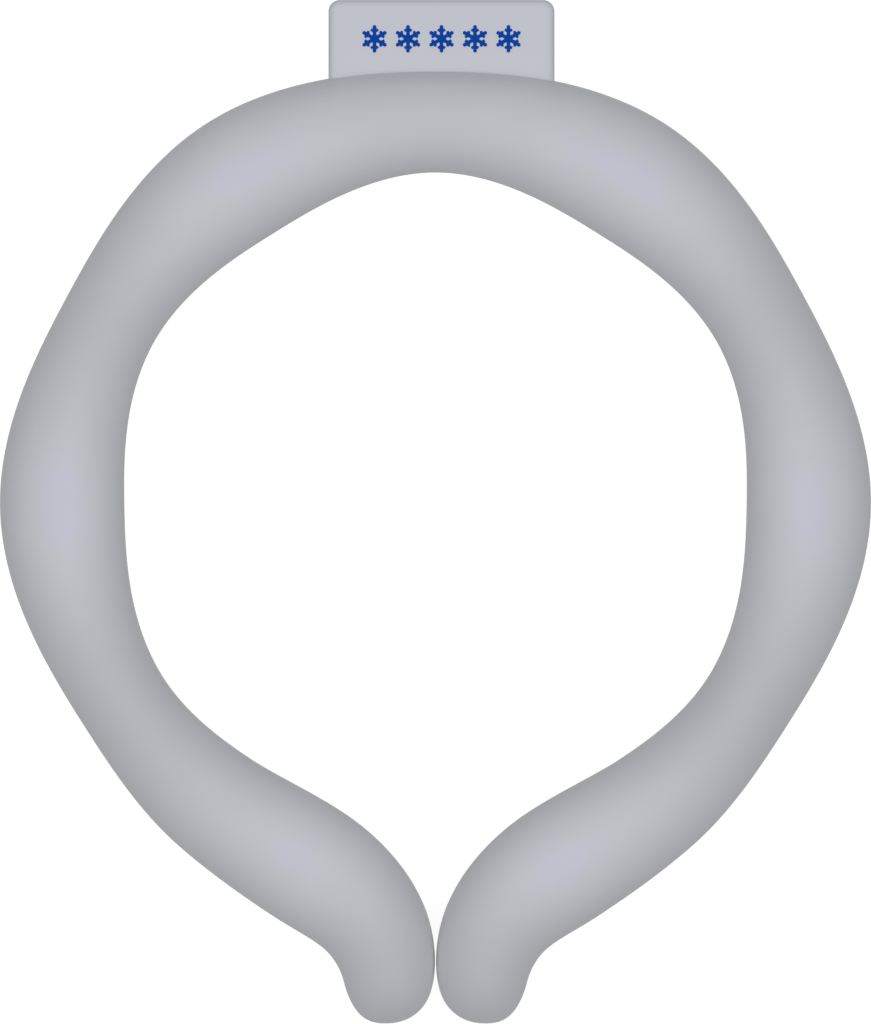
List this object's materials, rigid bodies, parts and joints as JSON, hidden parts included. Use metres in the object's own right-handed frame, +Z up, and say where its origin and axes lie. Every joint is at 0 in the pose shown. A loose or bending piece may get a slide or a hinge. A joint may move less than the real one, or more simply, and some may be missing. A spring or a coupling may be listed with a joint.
{
  "type": "cooling neck ring",
  "caption": "Open ring of gel-filled plastic tube, in bulges and narrower waists, with a flat tab at the nape. It is chilled and worn round the neck to cool it.",
  "frame": {"origin": "under the middle of the whole's box, on the surface that the ring lies on", "axes": "+Z up, +Y towards the back of the neck and the tab, +X to the right seen from above with the tab away from the viewer"},
  "size_m": [0.16, 0.188, 0.0227],
  "materials": {
    "tube_skin": "smooth satin, moulded",
    "tab_plastic": "smooth satin, moulded",
    "tab_print": "screen-printed ink"
  },
  "bodies": {
    "root": {"cooling_tube": "tube_skin", "nape_tab": "tab_plastic"}
  },
  "joints": []
}
